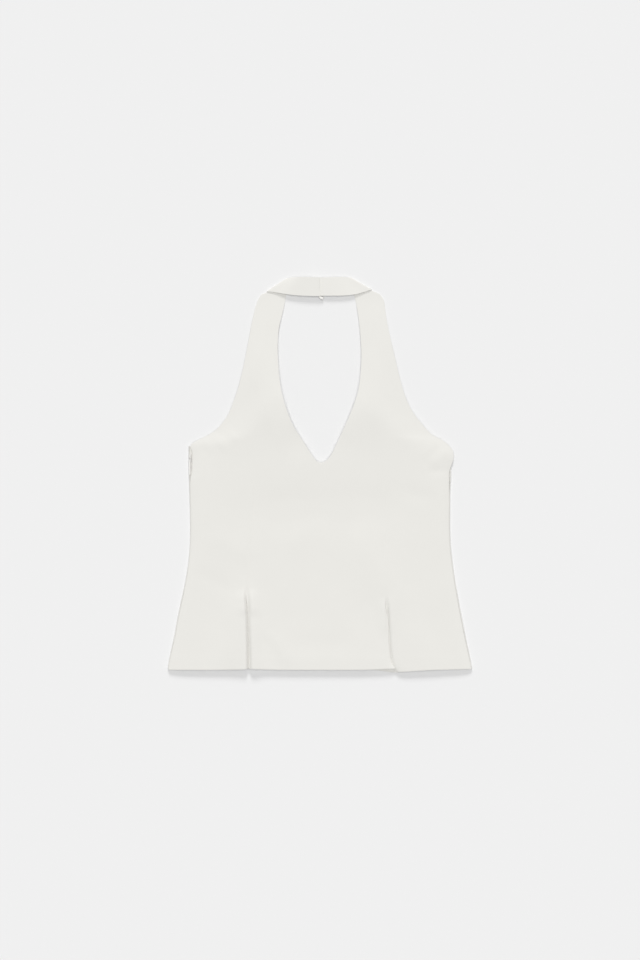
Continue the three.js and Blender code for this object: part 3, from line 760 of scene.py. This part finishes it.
def makePull():
    low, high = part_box("zip_pull")
    pivot = Vector(frame["joints"][0]["pos_m"])
    length = pivot.y - low.y
    half = (high.x - low.x) / 2
    slotX = pullShape["slotHalf"] * mm
    slotEnd = -pullShape["slotEnd"] * mm
    # the grid's rows become the head bar, the slot, the stem and the round tip
    barTop, barLow, slotMiddle = (
        up * mm for up in (pullShape["headBar"], -pullShape["headBar"], -pullShape["slotMiddle"])
    )
    stem = np.linspace(slotEnd, -length + half, pullShape["stemRows"] + 1)[1:]
    turns = np.linspace(0, pullShape["tipTurn"], pullShape["tipRows"] + 1)[1:]
    blunt = math.sin(pullShape["tipTurn"])
    tip = -length + half - half * np.sin(turns) / blunt
    rows = np.concatenate([[barTop, barLow, slotMiddle, slotEnd], stem, tip])
    columns = np.array([-half, -slotX, 0, slotX, half])
    strips = len(rows) - 1
    across = len(columns) - 1
    bpy.ops.mesh.primitive_grid_add(x_subdivisions=across, y_subdivisions=strips, size=1)
    pull = bpy.context.object
    pull.name = "zipPull"
    place = pointsOf(pull)
    y = rows[np.round((0.5 - place[:, 1]) * strips).astype(int)]
    x = columns[np.round((place[:, 0] + 0.5) * across).astype(int)]
    tipShare = np.clip((-length + half - y) / half, 0, 1)
    width = np.sqrt(1 - (tipShare * blunt) ** 2)
    width *= pullShape["neck"] + (1 - pullShape["neck"]) * ease(0, pullShape["neckReach"] * length, -y)
    onEdge = np.abs(x) > slotX + 0.001 * mm
    onStem = y < slotEnd - 0.001 * mm
    x *= np.where(onEdge, width, np.where(onStem, pullShape["stemColumn"] * width, 1))
    setPoints(pull, np.column_stack([x, y, np.zeros(len(y))]))
    centres = np.array([tuple(face.center) for face in pull.data.polygons])
    inSlot = (np.abs(centres[:, 0]) < slotX) & (centres[:, 1] < barLow) & (centres[:, 1] > slotEnd)
    pick(pull, "FACE", inSlot)
    bpy.ops.mesh.delete(type="FACE")
    objectMode()
    modify(pull, "SOLIDIFY", thickness=pullShape["thick"] * mm, offset=0)
    # a shallow panel pressed into the upper and lower faces of the stem
    for side in (1, -1):
        facing = np.array([tuple(face.normal) for face in pull.data.polygons])[:, 2] * side > 0.9
        centres = np.array([tuple(face.center) for face in pull.data.polygons])
        belowStart = centres[:, 1] < -pullShape["panelFrom"] * mm
        aboveEnd = centres[:, 1] > -length + pullShape["panelEnd"] * half
        pick(pull, "FACE", facing & belowStart & aboveEnd)
        bpy.ops.mesh.inset(thickness=pullShape["panelInset"] * mm, depth=0, use_even_offset=True)
        bpy.ops.mesh.inset(
            thickness=pullShape["panelSlope"] * mm, depth=-pullShape["panelDepth"] * mm, use_even_offset=True
        )
        objectMode()
    roundEdges(pull, pullShape["bevel"], pullShape["bevelFrom"])
    cleanBevel(pull)
    pull.rotation_euler = (math.atan(pullShape["drop"] * mm / length), 0, 0)
    pull.location = (zipMiddle, pivot.y, pivot.z)
    placeAtOrigin(pull)
    return pull


zipPull = makePull()
dress(zipPull, pullEnamel, "pull_tab")
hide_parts("zip_pull")
print("zip made")

# Hook and eye

# The hook's "tail" runs on under the left half's corner, and "lift" bends it up against the cloth.
hookShape = {
    "width": 3.9, "strip": 0.6, "bend": 0.8, "bendSteps": 10, "reach": 7.2, "tail": 1.2, "lift": 0.6,
    "liftReach": 0.4, "lengths": (0.35, 0.35, 0.3), "tilt": -28, "bevel": 0.22, "bevelFrom": 50,
}
# How wide the hook's strip is along its length, as shares of its whole width and length.
hookOutline = {"least": 0.72, "from": 0.12, "over": 0.7, "roundness": 0.7}
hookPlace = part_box("neck_hook")
hookMiddle = (hookPlace[0] + hookPlace[1]) / 2


def makeHook():
    half = hookShape["strip"] / 2 * mm
    start = -(hookShape["reach"] / 2 + hookShape["tail"]) * mm
    bendX = (hookShape["reach"] / 2 - hookShape["bend"] - hookShape["strip"] / 2) * mm
    bend = hookShape["bend"] * mm
    bpy.ops.mesh.primitive_plane_add(size=1, location=(start, 0, bend), rotation=(0, math.radians(90), 0))
    hook = bpy.context.object
    hook.name = "bandHook"
    hook.scale = (2 * half, hookShape["width"] * mm, 1)
    placeAtOrigin(hook)
    editMode(hook, "FACE")
    bpy.ops.mesh.select_all(action="SELECT")
    for share in hookShape["lengths"]:
        extrude((bendX - start) * share, 0, 0)
    bpy.ops.mesh.spin(steps=hookShape["bendSteps"], angle=math.pi, center=(bendX, 0, 0), axis=(0, 1, 0))
    extrude(-bendX, 0, 0)
    joinDoubles(0.01)
    bpy.ops.mesh.normals_make_consistent(inside=False)
    objectMode()
    # the strip narrows towards its bend and its sewn end is rounded
    place = pointsOf(hook)
    share = np.clip((place[:, 0] - start) / (bendX - start), 0, 1)
    swell = np.sin(math.pi * (hookOutline["from"] + hookOutline["over"] * share)) ** hookOutline["roundness"]
    place[:, 1] *= hookOutline["least"] + (1 - hookOutline["least"]) * swell
    onTop = place[:, 2] > 0
    place[onTop, 2] += hookShape["lift"] * mm * (1 - ease(0, hookShape["liftReach"], share[onTop]))
    setPoints(hook, place)
    modify(hook, "SUBSURF", levels=1, render_levels=1)
    roundEdges(hook, hookShape["bevel"], hookShape["bevelFrom"])
    cleanBevel(hook)
    hook.rotation_euler = (0, 0, math.radians(hookShape["tilt"]))
    hook.location = hookMiddle
    placeAtOrigin(hook)
    return hook


# "seat" and "aside" are how far the loop's middle lies from the hook's, along the hook and across it.
eyeShape = {"seat": 0.1, "aside": 1.5, "across": 2.3, "along": 4, "wire": 0.3, "turns": 48, "sides": 10}


def makeEye():
    # a ring drawn out into a long loop, with its wire kept round
    across, along = eyeShape["across"] * mm, eyeShape["along"] * mm
    bpy.ops.mesh.primitive_torus_add(
        major_segments=eyeShape["turns"],
        minor_segments=eyeShape["sides"],
        major_radius=across,
        minor_radius=eyeShape["wire"] * mm,
        location=(0, 0, 0),
    )
    eye = bpy.context.object
    eye.name = "bandEye"
    place = pointsOf(eye)
    turned = np.arctan2(place[:, 1], place[:, 0])
    aside = np.hypot(place[:, 0], place[:, 1]) - across
    facing = np.column_stack([np.cos(turned) / across, np.sin(turned) / along])
    facing /= np.linalg.norm(facing, axis=1)[:, None]
    place[:, 0] = eyeShape["seat"] * mm + across * np.cos(turned) + aside * facing[:, 0]
    place[:, 1] = eyeShape["aside"] * mm + along * np.sin(turned) + aside * facing[:, 1]
    setPoints(eye, place)
    eye.rotation_euler = (0, 0, math.radians(hookShape["tilt"]))
    eye.location = hookMiddle
    placeAtOrigin(eye)
    return eye


bandHook = makeHook()
dress(bandHook, hookEnamel, "top")
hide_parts("neck_hook")
bandEye = makeEye()
dress(bandEye, hookEnamel, "top")
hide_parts("neck_eye")
print("hook and eye made")

# Floor and light

floorLook = {"albedo": 0.8, "size": 60}
bpy.ops.mesh.primitive_plane_add(size=floorLook["size"], location=(0, 0, 0))
floor = bpy.context.object
floor.name = "floor"
floorFinish = Finish("floor", {"Roughness": 1.0, "Specular IOR Level": 0.0})
floorFinish.shader.inputs["Base Color"].default_value = (*shade((1, 1, 1), floorLook["albedo"]), 1)
floor.data.materials.append(floorFinish.material)

light = {
    "sky": 0.22,
    "above": {"strength": 1.95, "spread": 50, "elevation": 90},
    "key": {"strength": 1.79, "spread": 17, "elevation": 26},
}
world = bpy.data.worlds.new("studio")
world.use_nodes = True
world.node_tree.nodes["Background"].inputs["Color"].default_value = (1, 1, 1, 1)
world.node_tree.nodes["Background"].inputs["Strength"].default_value = light["sky"]
bpy.context.scene.world = world
for name in ("above", "key"):
    values = light[name]
    tilt = math.radians(values["elevation"] - 90)
    bpy.ops.object.light_add(type="SUN", location=(0, 0, 3), rotation=(tilt, 0, 0))
    lamp = bpy.context.object
    lamp.name = name
    lamp.data.energy = values["strength"]
    lamp.data.angle = math.radians(values["spread"])
bpy.context.scene.view_settings.view_transform = "Standard"
print("floor and light made")
